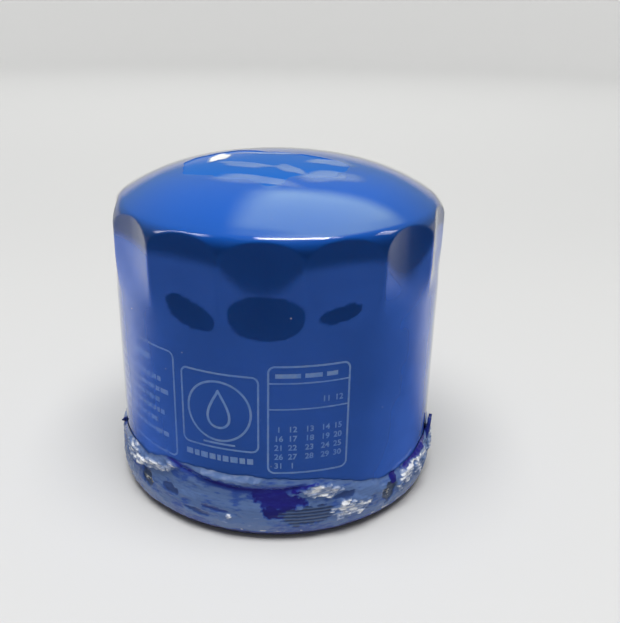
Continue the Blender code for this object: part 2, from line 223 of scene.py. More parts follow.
def degrees_past(where, angle):
    """How far each place is past the angle, from -180 to 180 degrees."""
    return np.mod(where - angle + 180.0, 360.0) - 180.0


def push_out(points, distance):
    """Moves each point this far out from the axis."""
    r, _ = polar(points)
    points[..., :2] *= ((r + distance) / r)[..., None]


def unit(rows):
    return rows / np.linalg.norm(rows, axis=1)[:, None]


def toward(base, value, share):
    return base * (1 - share) + value * share


def bell(value, centre, half):
    return np.exp(-(((value - centre) / half) ** 2))


def offset_path(path, thickness):
    """The closed outline of a strip of this thickness about the path."""
    path = np.asarray(path, float)
    ahead = unit(np.gradient(path, axis=0))
    across = np.stack([-ahead[:, 1], ahead[:, 0]], axis=1) * thickness / 2
    return np.concatenate([path + across, (path - across)[::-1]])


def eased(path, radius, steps=4):
    """The open path with its corners rounded."""
    made = [np.array(path[0], float)]
    for before, corner, after in zip(path, path[1:], path[2:]):
        before, corner, after = (np.array(p, float) for p in (before, corner, after))
        back, ahead = before - corner, after - corner
        reach = min(radius, np.linalg.norm(back) * 0.48, np.linalg.norm(ahead) * 0.48)
        start = corner + back / np.linalg.norm(back) * reach
        end = corner + ahead / np.linalg.norm(ahead) * reach
        for t in np.linspace(0, 1, steps + 1):
            made.append(start * (1 - t) ** 2 + corner * 2 * t * (1 - t) + end * t**2)
    made.append(np.array(path[-1], float))
    return made


def resampled(path, spacing):
    """The path with points added so that no step is longer than the spacing."""
    made = [np.array(path[0], float)]
    for a, b in zip(path, path[1:]):
        a, b = np.array(a, float), np.array(b, float)
        count = max(1, ceil(np.linalg.norm(b - a) / spacing))
        for t in range(1, count + 1):
            made.append(a + (b - a) * t / count)
    return np.array(made)


def fbm(points, scale, octaves=3, seed=0.0):
    """Smooth noise, one value a point, with points in mm and scale as features to the mm."""
    shape = points.shape[:-1]
    flat = points.reshape(-1, 3) * scale
    made = np.empty(len(flat))
    for i, (x, y, z) in enumerate(flat):
        made[i] = noise.fractal((x + seed, y - seed, z + 2 * seed), 1.0, 2.1, octaves)
    return made.reshape(shape)


def crumple(points, scale, seed=0.0):
    """Height of creased facets: the edge distance of a cell pattern, from 0 on a crease up to about 1."""
    shape = points.shape[:-1]
    flat = points.reshape(-1, 3) * scale
    made = np.empty(len(flat))
    for i, (x, y, z) in enumerate(flat):
        near, _ = noise.voronoi((x + seed, y - seed, z + 2 * seed))
        made[i] = near[1] - near[0]
    return made.reshape(shape)


# Materials


class Nodes:
    """A material, with short ways to add and link its shader nodes."""

    def __init__(self, name):
        self.mat = bpy.data.materials.new(name)
        self.mat.use_nodes = True
        self.tree = self.mat.node_tree
        self.tree.nodes.clear()
        self.out = self.add("OutputMaterial")
        self.place = self.add("TexCoord").outputs["Object"]

    def add(self, kind, inputs=None, **settings):
        """A node with these settings. Each input is a value, or a socket to link to."""
        node = self.tree.nodes.new("ShaderNode" + kind)
        for key, value in settings.items():
            setattr(node, key, value)
        for key, value in (inputs or {}).items():
            if isinstance(value, bpy.types.NodeSocket):
                self.tree.links.new(value, node.inputs[key])
            else:
                node.inputs[key].default_value = value
        return node

    def noise(self, scale, detail=3.0, place=None):
        inputs = {"Vector": place or self.place, "Scale": scale, "Detail": detail, "Roughness": 0.55}
        return self.add("TexNoise", inputs).outputs["Fac"]

    def stretched(self, scale):
        return self.add("Mapping", {"Vector": self.place, "Scale": scale}).outputs["Vector"]

    def axes(self):
        """The place's X, Y and Z."""
        return self.add("SeparateXYZ", {0: self.place}).outputs

    def maths(self, operation, a, b=None, clamp=False):
        inputs = {0: a} if b is None else {0: a, 1: b}
        return self.add("Math", inputs, operation=operation, use_clamp=clamp).outputs[0]

    def ramp(self, value, low, high, start=0.0, end=1.0):
        """The value eased from start to end as it goes from low to high."""
        inputs = {"Value": value, "From Min": low, "From Max": high, "To Min": start, "To Max": end}
        return self.add("MapRange", inputs, interpolation_type="SMOOTHSTEP").outputs["Result"]

    def blend(self, factor, a, b):
        return self.add("Mix", {"Factor": factor, 6: a, 7: b}, data_type="RGBA").outputs[2]

    def attribute(self, name):
        return self.add("Attribute", attribute_name=name).outputs["Fac"]

    def bump(self, height, strength, distance):
        inputs = {"Height": height, "Strength": strength, "Distance": distance}
        return self.add("Bump", inputs).outputs["Normal"]

    def specks(self, scale, size, share):
        """1 on small scattered dots."""
        cells = self.add("TexVoronoi", {"Vector": self.place, "Scale": scale})
        near = self.ramp(cells.outputs["Distance"], size * 0.6, size, 1.0, 0.0)
        pick = self.add("SeparateColor", {0: cells.outputs["Color"]})
        chosen = self.maths("GREATER_THAN", pick.outputs[0], 1 - share)
        return self.maths("MULTIPLY", near, chosen)

    def principled(self, colour, roughness, metallic=0.0, normal=None, **more):
        inputs = {"Base Color": colour, "Roughness": roughness, "Metallic": metallic}
        if normal:
            inputs["Normal"] = normal
        inputs.update({key.replace("_", " "): value for key, value in more.items()})
        return self.add("BsdfPrincipled", inputs).outputs[0]

    def clear(self, tint=(1, 1, 1, 1)):
        return self.add("BsdfTransparent", {"Color": tint}).outputs[0]

    def mixed(self, share, first, second):
        """The first shader, with this share of the second."""
        return self.add("MixShader", {0: share, 1: first, 2: second}).outputs[0]

    def shown(self, shader):
        self.tree.links.new(shader, self.out.inputs["Surface"])
        return self.mat


def paint_material():
    """Deep blue enamel with a little orange peel and slow drift of tone."""
    n = Nodes("blue_enamel")
    drift = n.noise(22.0, 2.0)
    colour = n.blend(drift, (0.0065, 0.104, 0.440, 1), (0.0085, 0.116, 0.475, 1))
    dust = n.specks(330.0, 0.055, 0.45)
    colour = n.blend(n.maths("MULTIPLY", dust, 0.4), colour, (0.35, 0.45, 0.62, 1))
    peel = n.noise(620.0, 1.0)
    rough = n.ramp(n.noise(60.0, 3.0), 0.3, 0.7, 0.09, 0.14)
    shader = n.principled(colour, rough, normal=n.bump(peel, 0.012, 0.0002), IOR=1.15)
    return n.shown(shader)


def film_material():
    """Clear shrink film: it lets the paint through, veils it a little and mirrors the room at a slant."""
    n = Nodes("shrink_film_clear")
    drift = n.ramp(n.noise(45.0), 0.3, 0.7, 0.88, 1.12)
    haze = n.maths("MULTIPLY", n.attribute("milk"), drift)
    slant = n.add("LayerWeight").outputs["Facing"]
    haze = n.maths("MULTIPLY", haze, n.ramp(slant, 0.22, 0.74, 1.0, 2.6), clamp=True)
    dust = n.specks(260.0, 0.050, 0.35)
    haze = n.maths("MAXIMUM", haze, n.maths("MULTIPLY", dust, 0.6))
    milk = n.add("BsdfDiffuse", {"Color": n.blend(dust, VEIL_COLOUR, (0.75, 0.80, 0.88, 1))}).outputs[0]
    body = n.mixed(haze, n.clear(FILM_TINT), milk)
    ripple = n.bump(n.noise(110.0, 2.0), 0.05, 0.0004)
    shine = n.add("BsdfGlossy", {"Roughness": FILM_ROUGH, "Normal": ripple}).outputs[0]
    mirror = n.add("Fresnel", {"IOR": FILM_IOR}).outputs[0]
    return n.shown(n.mixed(n.maths("MULTIPLY", mirror, FILM_GLOSS, clamp=True), body, shine))


def scrap_and_glare_material():
    """A milky smear of film that fades out to nothing at its edge, and is painted white, a painted
    highlight, where it is thickest.
    """
    n = Nodes("film_scrap")
    milk = n.attribute("milk")
    # Painted highlight: the milkiest scrap, on the opening's edge, turns white.
    colour = n.blend(n.ramp(milk, 0.5, 0.95), (0.40, 0.54, 0.80, 1), (1.0, 1.0, 1.0, 1))
    uneven = n.ramp(n.noise(90.0, 2.0), 0.30, 0.65, 0.75, 1.1)
    share = n.maths("MULTIPLY", milk, uneven, clamp=True)
    return n.shown(n.mixed(share, n.clear(), n.principled(colour, 0.12)))


def band_material():
    """The gathered film: navy where it lies flat on the paint, hazy blue and then white in its creases,
    where the white is partly the creased film's own and partly painted highlight.
    """
    n = Nodes("gathered_film")
    fine = n.noise(520.0, 4.0, place=n.stretched((1.0, 1.0, 2.4)))
    grain = n.maths("MULTIPLY", n.maths("SUBTRACT", fine, 0.5), 0.22)
    tone = n.maths("ADD", n.attribute("tone"), grain, clamp=True)
    colour = (0.012, 0.016, 0.115, 1)
    # The top steps, pale and white, are partly painted highlight where the crumpled facets catch the light.
    steps = (
        (0.08, 0.26, (0.035, 0.085, 0.330, 1)),
        (0.30, 0.46, (0.100, 0.172, 0.375, 1)),
        (0.56, 0.74, (0.300, 0.370, 0.560, 1)),
        (0.80, 0.97, (0.860, 0.880, 0.930, 1)),
    )
    for low, high, shade in steps:
        colour = n.blend(n.ramp(tone, low, high), colour, shade)
    colour = n.blend(n.attribute("violet"), colour, (0.018, 0.014, 0.250, 1))
    colour = n.blend(n.attribute("smoke"), colour, (0.040, 0.062, 0.110, 1))
    rough = n.ramp(tone, 0.2, 0.8, 0.10, 0.26)
    relief = n.bump(fine, 0.30, 0.0005)
    return n.shown(n.principled(colour, rough, normal=relief, Specular_IOR_Level=0.6))


def print_material():
    n = Nodes("printed_ink")
    worn = n.ramp(n.noise(700.0, 3.0), 0.35, 0.65)
    colour = n.blend(worn, (0.60, 0.84, 1.0, 1), (0.86, 1.0, 1.0, 1))
    return n.shown(n.principled(colour, 0.45, Specular_IOR_Level=0.2))


def metal_material(name, colour, rough, streak=(60.0, 60.0, 900.0), strength=0.15):
    n = Nodes(name)
    grain = n.noise(1.0, 3.0, place=n.stretched(streak))
    blotch = n.noise(90.0, 4.0)
    dark = tuple(c * 0.72 for c in colour) + (1,)
    tone = n.blend(blotch, dark, (*colour, 1))
    shine = n.ramp(n.noise(150.0, 3.0), 0.3, 0.7, rough * 0.8, rough * 1.3)
    return n.shown(n.principled(tone, shine, 1.0, n.bump(grain, strength, 0.0002)))


def soft_material(name, colour, light, rough, scale, strength):
    n = Nodes(name)
    spread = n.noise(scale, 4.0)
    tone = n.blend(spread, (*colour, 1), (*light, 1))
    fine = n.noise(scale * 9, 3.0)
    return n.shown(n.principled(tone, rough, normal=n.bump(fine, strength, 0.0002)))


# Canister


def flute_angles(per):
    """Angles round the can, so many to a flute and closer together at the ridges."""
    t = np.arange(per) / per
    t = t - 0.55 * np.sin(2 * pi * t) / (2 * pi)
    return (FIRST_CUSP + FLUTE_PITCH * (np.arange(FLUTES)[:, None] + t[None, :])).reshape(-1)


def hollow(angle):
    """How deep a flute is across its width: 0 on the softly rounded ridges and 1 in the middle."""
    across = np.mod((angle - FIRST_CUSP) / FLUTE_PITCH, 1.0) * 2 - 1
    inset = np.sqrt((1 - np.abs(across)) ** 2 + RIDGE_SOFT**2) - RIDGE_SOFT
    return 2 * inset - inset**2


def wall_r(z):
    """Radius of the plain wall's outer face: it swells into the ridges, and draws in above the seam."""
    swell = (RIDGE_R - WALL_R) * smooth((z - FLUTE_LOW) / (FLUTE_FULL - FLUTE_LOW))
    return WALL_R + swell - (WALL_R - CAN_R) * smooth((14.0 - z) / 4.5)


def flute_depth(angle, z):
    """How far a flute takes the outer face in: it runs out down the wall, and up on the shoulder."""
    depth = FLUTE_DEPTH * smooth((z - FLUTE_LOW) / (FLUTE_FULL - FLUTE_LOW))
    depth = depth + FLUTE_LEAN * smooth((z - FLUTE_FULL) / (CREASE_Z - FLUTE_FULL))
    rise = np.clip(z - BEND_Z, 0.0, BEND)
    proud = depth * hollow(angle) - (BEND - np.sqrt(BEND**2 - rise**2))
    near = (np.clip(proud, -FLUTE_EDGE, FLUTE_EDGE) + FLUTE_EDGE) ** 2 / (4 * FLUTE_EDGE)
    return np.where(proud > FLUTE_EDGE, proud, near)


def shaped(points, share=1.0):
    """The points with the flutes pressed into them."""
    r, angle = polar(points)
    depth = flute_depth(angle, points[..., 2]) * (r > 0.95 * CREASE_R) * share
    factor = 1 - depth / np.maximum(r, 1e-6)
    made = points.copy()
    made[..., 0] *= factor
    made[..., 1] *= factor
    return made


def bend_path(offset, count):
    """The shoulder's bend from wall to crease, offset outwards."""
    turns = np.linspace(0.0, CREASE_TURN, count)
    reach = BEND + offset
    return [(BEND_R + reach * cos(t), BEND_Z + reach * sin(t)) for t in turns]


def build_canister(paint):
    half = SHEET / 2
    inner = CAN_R - half
    path = eased([(SEAM_R, SEAM_TOP), (SEAM_R, SEAM_Z), (inner, SEAM_Z), (inner, SEAM_TOP + 0.8)], 0.25, 3)
    heights = [9.5, 11.0, 12.5, 14.0, 24.0, 36.0, 46.0, *np.arange(FLUTE_LOW - 0.5, BEND_Z - 0.2, 0.55)]
    path += [(wall_r(z) - half, z) for z in heights]
    path += bend_path(-half, 30)
    radii = [35.3, 34.8, 34.0, *np.linspace(33.0, 3.0, 14), 1.8, 0.8, 0.0]
    path += [(r, dome_z(r) - half) for r in radii]
    outline = offset_path(path, SHEET)
    outline[:, 0] = np.maximum(outline[:, 0], 0.0)
    last = len(path) - 1
    outline[last] = (0.0, TOP - SHEET)
    outline[last + 1] = (0.0, TOP)
    points = shaped(spun(outline, flute_angles(26)))
    can = grid("canister_enamel", points, paint, closed_columns=True)
    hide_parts("canister")


# Shrink film

# Where the film clings to the wall: angle from -Y towards +X, height, half width, half height and tilt
FRONT_CLINGS = (
    (-3.6, 53.4, 11.6, 4.7, 0.0),
    (-28.3, 52.5, 8.8, 2.9, -14.0),
    (19.5, 53.2, 7.0, 1.7, 8.0),
)


def clings():
    """The front three patches, and a seeded one in each flute of the back."""
    made = list(FRONT_CLINGS)
    pick = random.Random(14)
    pitch = 360.0 / FLUTES
    for k in range(4, FLUTES - 3):
        centre = 20.7 + (k - 1) * pitch
        spans = ((-2.5, 2.5), (51.5, 54.5), (6.0, 11.0), (1.8, 4.6), (-14.0, 14.0))
        offset, *rest = (pick.uniform(*span) for span in spans)
        made.append((centre + offset, *rest))
    return made


def cling_field(points):
    """Above 0 where the film clings to the paint."""
    where = facing(points)
    height = points[..., 2]
    best = np.full(where.shape, -1.0)
    for angle, z, half_w, half_h, tilt in clings():
        across = degrees_past(where, angle)
        up = height - z - across * tan(radians(tilt)) * CAN_R * pi / 180
        flat_top = np.where(up > 0, up / (0.78 * half_h), up / (1.12 * half_h))
        distance = (np.abs(across / half_w) ** 2.4 + np.abs(flat_top) ** 2.4) ** (1 / 2.4)
        best = np.maximum(best, 1 - distance)
    return best


def opening_radius(angle):
    """Radius of the torn opening about its own middle, in mm."""
    knots = np.radians(OPENING_ANGLES)
    knots = np.concatenate([knots - 2 * pi, knots, knots + 2 * pi])
    sizes = np.tile(OPENING_RADII, 3)
    near = np.searchsorted(knots, angle) - 1
    t = smooth((angle - knots[near]) / (knots[near + 1] - knots[near]))
    base = sizes[near] * (1 - t) + sizes[near + 1] * t
    ragged = 0.35 * np.sin(9 * angle + 2.0) + 0.18 * np.sin(23 * angle)
    return base + ragged


def bridged(angle, height):
    """How milky the film is: clear under the shoulder, and clear further down in every third flute."""
    flute = np.floor((angle - FIRST_CUSP) / FLUTE_PITCH) % FLUTES
    longer = (flute % 3 == 1) * hollow(angle)
    return smooth((64.5 - 5.0 * longer - height) / (3.0 + 2.0 * longer))


def build_film_sleeve(mat):
    """The film from the torn opening on the dome, over the shoulder and down the wall."""
    angle = flute_angles(36)
    turned = np.mod(angle + pi, 2 * pi) - pi
    hole = opening_radius(turned)
    way = np.stack([np.cos(angle), np.sin(angle)], axis=-1)
    inner = OPENING_CENTRE + hole[:, None] * way
    outer = (CREASE_R - 0.4) * way
    rings = []
    for t in np.concatenate([[0.0, 0.012, 0.03], np.linspace(0.06, 1.0, 22)]):
        flat = inner * (1 - t) + outer * t
        r = np.hypot(flat[:, 0], flat[:, 1])
        lift = FILM_GAP + 0.02 * exp(-((t / 0.03) ** 2))
        rings.append(np.concatenate([flat, (dome_z(r) + lift)[:, None]], axis=1))
    turn = bend_path(FILM_GAP, 30)[::-1]
    heights = np.concatenate([np.arange(BEND_Z - 0.4, 47.0, -0.5), np.linspace(46.5, 8.8, 22)])
    turn += [(wall_r(z) + FILM_GAP, z) for z in heights]
    around = spun(turn, angle)
    field = cling_field(around)
    around = shaped(around, 0.97)
    push_out(around, fbm(around, 0.11, 2, 5.0) * 0.04 * (around[..., 2] < BEND_Z))
    points = np.concatenate([np.array(rings), around])
    sleeve = grid("film_sleeve", points, mat)
    milk = np.full(points.shape[:2], DOME_VEIL)
    height = around[..., 2]
    clear = smooth((field + 0.03) / 0.05)
    milk[len(rings) :] = (0.03 + WALL_VEIL * bridged(angle, height)) * (1 - 0.9 * clear)
    set_attribute(sleeve, "milk", milk)
    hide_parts("shrink_film")
    return sleeve


# Film left inside the opening, and one painted highlight: x, y, half length, half width (mm), turn (degrees)
# and how milky it is
REMNANTS_AND_GLARE = (
    (-7.6, -4.6, 7.4, 2.6, -24.0, 0.36),
    (2.4, -8.6, 5.6, 2.4, -52.0, 0.36),
    (-5.4, -16.0, 11.5, 2.8, -18.0, 0.34),
    (11.0, -12.6, 8.4, 4.0, 18.0, 0.42),
    (12.0, -1.0, 6.4, 3.4, -6.0, 0.48),
    (-2.0, 7.6, 9.4, 1.5, -4.0, 0.52),
    # Painted highlight: this fully milky scrap is painted white where the opening's edge catches the light.
    (-13.8, 4.0, 5.4, 2.7, 74.0, 1.00),
)


def build_remnants_and_glare(mat):
    """Scraps of film that still cling to the dome inside the opening, and one white scrap that is a painted
    highlight.
    """
    made = []
    steps = 40
    angles = np.arange(steps) * 2 * pi / steps
    for k, (x, y, length, width, turn, milky) in enumerate(REMNANTS_AND_GLARE):
        c, s = cos(radians(turn)), sin(radians(turn))
        rings, milk = [], []
        for t in np.linspace(0.0, 1.0, 9):
            wobble = 1 + 0.12 * np.sin(3 * angles + k) + 0.08 * np.sin(5 * angles + 2 * k)
            along = length * t * wobble * np.cos(angles)
            across = width * t * wobble * np.sin(angles)
            px, py = x + c * along - s * across, y + s * along + c * across
            pz = dome_z(np.hypot(px, py)) + 0.06 + 0.10 * (1 - t * t)
            rings.append(np.stack([px, py, pz], axis=-1))
            milk.append(np.full(steps, milky * (1 - smooth((t - 0.62) / 0.38))))
        scrap = grid(f"film_scrap_{k + 1}", rings, mat)
        set_attribute(scrap, "milk", milk)
        made.append(scrap)
    return made


# The gathered film's upper edge: angle from -Y towards +X, height (degrees, mm)
EDGE_ANGLES = (-180, -105, -78, -66, -50, -38, -25, -8, 2, 14, 21, 29, 38, 46, 56, 66, 76, 100, 180)
EDGE_HEIGHTS = (14.5, 11.6, 12.2, 13.6, 13.4, 16.0, 16.2, 16.1, 15.7, 15.3, 14.0, 12.0, 10.6, 10.4, 10.8)
EDGE_HEIGHTS += (11.6, 12.2, 12.6, 14.5)

# What shows on the gathered film in front: angle, height, half width, half height, slant (mm of rise
# a degree), tone, violet, smoke and how far it stands out (mm)
# Marks with a tone near 1 are painted white: partly creased film, partly painted highlight.
BAND_MARKS = (
    (-16, 15.7, 12, 1.5, 0, 0.6, 0, 0, 0.55),
    (-36, 15.6, 4.5, 1.6, 0.2, 0.72, 0, 0, 0.5),
    (-47, 11.8, 9, 1.3, 0.18, 0.84, 0, 0, 0.6),
    (-60, 11.2, 7, 2.2, 0.08, 0.78, 0, 0, 0.55),
    (-54, 11, 3, 1, 0, 1, 0, 0, 0.65),
    (-49.5, 7.6, 3.4, 2.2, -0.15, 0.2, 0, 0.85, -0.35),
    (-38, 8.4, 3.6, 1, -0.1, 0.22, 0, 0.5, -0.2),
    (-27, 5.4, 4.5, 0.6, -0.05, 0.22, 0, 0.4, -0.15),
    (-20, 7, 4, 0.5, -0.04, 0.2, 0.2, 0.2, -0.15),
    (-15.5, 5.9, 0.9, 0.6, 0, 1, 0, 0, 0.3),
    (0.5, 10.4, 9, 2.4, -0.06, 0.1, 0.45, 0, -0.15),
    (2, 7.4, 7, 1.6, -0.05, 0.06, 0.25, 0, -0.1),
    (9.5, 6.3, 9, 2.3, 0.04, 0.3, 0, 0.8, -0.1),
    (8.5, 13, 4.6, 0.8, 0.16, 0.05, 0.75, 0, 0.15),
    (14.5, 12.2, 7.5, 1.5, -0.02, 0.82, 0, 0, 0.5),
    (25.5, 6.6, 7, 2.2, 0.05, 0.84, 0, 0, 0.45),
    (23, 8.7, 2, 0.8, 0.1, 1, 0, 0, 0.6),
    (23.5, 10, 3.6, 0.9, 0, 0.24, 0, 0.5, -0.15),
    (31, 9.6, 5, 2, 0.1, 0.52, 0, 0, 0.2),
    (41, 6.6, 3.2, 2.2, 0.1, 0.2, 0, 0.9, -0.25),
    (43.5, 10.2, 1.8, 1.8, 0.3, 0.08, 0.45, 0, 0.2),
    (50, 8, 5, 2.6, 0.2, 0.8, 0, 0, 0.55),
    (62, 8.8, 7, 2.8, 0.18, 0.76, 0, 0, 0.6),
    (57, 10, 8, 0.7, 0.1, 0.95, 0, 0, 0.5),
    (61, 10.9, 13, 0.7, 0.07, 0.12, 0.8, 0, 0.3),
    (69, 6.8, 4, 2, 0.3, 0.34, 0, 0.4, -0.2),
)


# The gathered film's foot, turned in under the rim: radius and height (mm)
TURNED_IN = ((36.4, 0.42), (35.4, 0.55), (34.6, 0.75))
BAND_STEPS = 1080
FLAP_R = 38.6
FLAP_SHEET = 0.8


def band_radius(z):
    """The gathered film's mean radius over wall and seam, in mm."""
    knots_z = (0.4, 1.2, 2.4, 4.2, 8.2, 10.0, 13.0, 18.5)
    knots_r = (37.2, 38.0, 38.8, 39.15, 39.1, 38.7, 38.36, 38.14)
    return np.interp(z, knots_z, knots_r)


def back_marks():
    """Seeded marks of the same kinds for the sides and back of the gathered film."""
    pick = random.Random(31)
    made = []
    for _ in range(58):
        kind = pick.random()
        if kind < 0.4:
            look = (0.80, 0.0, 0.0, 0.5)
        elif kind < 0.65:
            look = (0.55, 0.0, 0.0, 0.35)
        elif kind <= 0.88:
            look = (0.18, 0.0, 0.6, -0.25)
        else:
            look = (0.18, 0.6, 0.0, -0.25)
        spans = ((78.0, 286.0), (4.0, 15.0), (2.5, 8.0), (0.8, 2.4), (-0.25, 0.25))
        made.append((*(pick.uniform(*span) for span in spans), *look))
    return made


def marked(where, height, warp, mark):
    """1 inside the mark, 0 outside, with a ragged edge."""
    angle, z, half_w, half_h, slant = mark[:5]
    across = degrees_past(where, angle)
    up = height - z - slant * across
    distance = np.sqrt((across / half_w) ** 2 + (up / half_h) ** 2) + warp
    return smooth((1.12 - distance) / 0.30)


def band_rings():
    """The gathered film's plain rings, each step's angle from -Y and the height of its upper edge there."""
    angle = np.arange(BAND_STEPS) * 2 * pi / BAND_STEPS
    signed = degrees_past(np.degrees(angle), 0.0)
    ring_point = from_front(angle, WALL_R, 0.0)
    edge = np.interp(signed, EDGE_ANGLES, EDGE_HEIGHTS)
    edge = edge + 0.35 * fbm(ring_point, 0.22, 3, 3.0) + 0.25 * fbm(ring_point, 0.9, 2, 7.0)
    rings = []
    for t in np.concatenate([np.linspace(0.0, 0.03, 3), np.linspace(0.045, 1.0, 64)]):
        z = 0.45 + (edge - 0.45) * (1 - t)
        snug = wall_r(z) + 0.2
        r = snug + (np.maximum(band_radius(z), snug) - snug) * smooth((edge - z) / 2.4)
        r = np.where(z < 1.5, band_radius(z), r)
        rings.append(from_front(angle, r, z))
    rings += [from_front(angle, r, z) for r, z in TURNED_IN]
    return np.array(rings), signed, edge


def build_film_band(mat):
    """The gathered foot of the film: a crumpled ring over the seam, turned in under the rim."""
    points, signed, edge = band_rings()
    height = points[..., 2]
    where = np.broadcast_to(signed, height.shape)
    on_wall = smooth((height - 0.6) / 1.8)
    tucked = smooth((edge[None, :] - height) / 1.3)
    warp = np.stack([fbm(points, 0.25, 2, s) for s in (1.0, 2.0, 3.0)], axis=-1) * 1.5
    squeezed = (points + warp) * np.array([1.0, 1.0, 2.2])
    big = np.clip(crumple(squeezed, 0.13, 11.0), 0, 1)
    small = np.clip(crumple(squeezed, 0.45, 4.0), 0, 1)
    ragged = 0.45 * fbm(points, 0.55, 3, 13.0)
    tone = 0.46 + 0.16 * fbm(points * np.array([1.0, 1.0, 1.6]), 0.14, 3, 9.0) + 0.10 * (big - 0.5)
    violet = np.zeros(height.shape)
    smoke = np.zeros(height.shape)
    push = 0.25 * big + 0.10 * small
    rough = np.full(height.shape, 0.25)
    # The groove over the seam's top: pressed in, and darkened as painted shade.
    groove_z = 12.7 + 0.0035 * (where + 8.0) ** 2
    groove = bell(height, groove_z, 0.75) * smooth((where + 44.0) / 5.0) * smooth((12.0 - where) / 6.0)
    for mark in BAND_MARKS + tuple(back_marks()):
        inside = marked(where, height, ragged, mark)
        shade, purple, grey, out = mark[5:]
        tone = toward(tone, shade, inside)
        violet = toward(violet, purple, inside)
        smoke = toward(smoke, grey, inside)
        push = push * (1 - 0.5 * inside) + out * inside
        rough = np.maximum(rough * (1 - inside), inside * (1.0 if shade > 0.7 else 0.1))
    wrinkle = np.sin(9.0 * height + 1.5 * fbm(points, 0.3, 2, 17.0) + 0.12 * where)
    streaks = fbm(points * np.array([1.0, 1.0, 3.4]), 0.5, 3, 23.0)
    tone = tone + rough * (0.30 * wrinkle * (small - 0.35) + 0.42 * streaks)
    lines = marked(where, height, 0.6 * ragged, (9.5, 6.3, 9.5, 2.5, 0.04))
    lines = np.sin(height * 7.6 + 0.05 * where) * lines
    tone = tone + 0.22 * lines
    smoke = np.clip(smoke * (1 - 0.55 * np.clip(lines, 0, 1)), 0, 1)
    # Painted shade: along the groove the film is darkened and turned violet.
    tone = toward(tone, 0.12, groove)
    violet = toward(violet, 0.60, groove)
    # Painted shadow: below the seam's height the band darkens to navy, where it meets the floor.
    tone = toward(tone, 0.10, smooth(SEAM_Z - height + 0.6 * ragged))
    tone = tone + 0.05 * bell(height, 4.2 + 0.8 * ragged, 0.8)
    push = push + rough * (0.38 * (small - 0.3) + 0.16 * wrinkle) - 0.50 * groove + 0.10 * lines
    push = push + 0.22 * bell(height, edge[None, :] - 1.2, 0.8)
    push_out(points, np.maximum(push * on_wall * tucked, -0.35) + 0.06)
    lift = 0.30 * (small - 0.4) * rough * on_wall * tucked
    points[..., 2] = np.maximum(points[..., 2] + lift, 0.3)
    band = grid("film_band", points, mat)
    for name, values in (("tone", tone), ("violet", violet), ("smoke", smoke)):
        set_attribute(band, name, np.clip(values, 0.0, 1.0))
    return band


def build_flap(mat, name, angle, z, size, lean, seed):
    """A small tongue of film that stands off the band."""
    rows, columns = 16, 9
    rings = []
    length, width, reach = size
    for t in np.linspace(0.0, 1.0, rows):
        half = 0.5 * width * sqrt(1 - 0.97 * t**2.4)
        bend = 0.35 * sin(2.3 * t + seed)
        row = []
        for s in np.linspace(-1.0, 1.0, columns):
            turn = radians(angle) + (s * half + lean * t) / FLAP_R
            out = FLAP_R + reach * sin(t * 1.35) + 0.25 * (1 - s * s) * bend
            height = z + length * t + 0.3 * sin(4 * s + seed) * t
            row.append((out * sin(turn), -out * cos(turn), height))
        rings.append(row)
    flap = grid(name, rings, mat, closed_rings=False)
    set_attribute(flap, "tone", np.full(rows * columns, 0.16))
    set_attribute(flap, "violet", np.full(rows * columns, 0.35))
    thick = flap.modifiers.new("film", "SOLIDIFY")
    thick.thickness = FLAP_SHEET * MM
    return flap


# Print

DIGIT_SIZE = 1.9
INK_LIFT = 0.02
INK_SHEET = 0.015


def wrap(points):
    """Points of (mm round the wall from -Y, height) laid on the wall."""
    return from_front(points[:, 0] / CAN_R, WALL_R + INK_LIFT, points[:, 1])


def stroke(path, width, closed=False):
    """The quads of a line of this width, as (points, faces)."""
    path = np.asarray(path, float)
    if closed:
        path = np.concatenate([path, path[:1]])
    ahead = np.gradient(path, axis=0)
    if closed:
        ahead[0] = ahead[-1] = path[1] - path[-2]
    ahead /= np.maximum(np.linalg.norm(ahead, axis=1), 1e-9)[:, None]
    across = np.stack([-ahead[:, 1], ahead[:, 0]], axis=1) * width / 2
    points = np.concatenate([path + across, path - across])
    count = len(path)
    faces = [(i + count, i + 1 + count, i + 1, i) for i in range(count - 1)]
    return points, faces


def rounded_box(left, right, low, high, radius=1.4):
    corners = (
        (right - radius, high - radius, 0),
        (left + radius, high - radius, 90),
        (left + radius, low + radius, 180),
        (right - radius, low + radius, 270),
    )
    path = []
    for x, y, start in corners:
        for step in range(7):
            a = radians(start + step * 15)
            path.append((x + radius * cos(a), y + radius * sin(a)))
    return resampled(path + path[:1], 1.2)[:-1]


def digits(text, x, y, size):
    """The built-in font's mesh for some digits, centred on x and standing on y."""
    curve = bpy.data.curves.new("digits", "FONT")
    curve.body = text
    curve.size = size
    curve.align_x = "CENTER"
    curve.resolution_u = 3
    curve.offset = 0.035
    helper = bpy.data.objects.new("digits", curve)
    bpy.context.scene.collection.objects.link(helper)
    graph = bpy.context.evaluated_depsgraph_get()
    mesh = bpy.data.meshes.new_from_object(helper.evaluated_get(graph))
    points = np.array([(v.co.x + x, v.co.y + y) for v in mesh.vertices]).reshape(-1, 2)
    faces = [tuple(p.vertices) for p in mesh.polygons]
    bpy.data.objects.remove(helper)
    bpy.data.curves.remove(curve)
    bpy.data.meshes.remove(mesh)
    return points, faces


def merged(shapes):
    points, faces, start = [], [], 0
    for shape_points, shape_faces in shapes:
        points.append(shape_points)
        faces += [tuple(v + start for v in f) for f in shape_faces]
        start += len(shape_points)
    return np.concatenate(points), faces


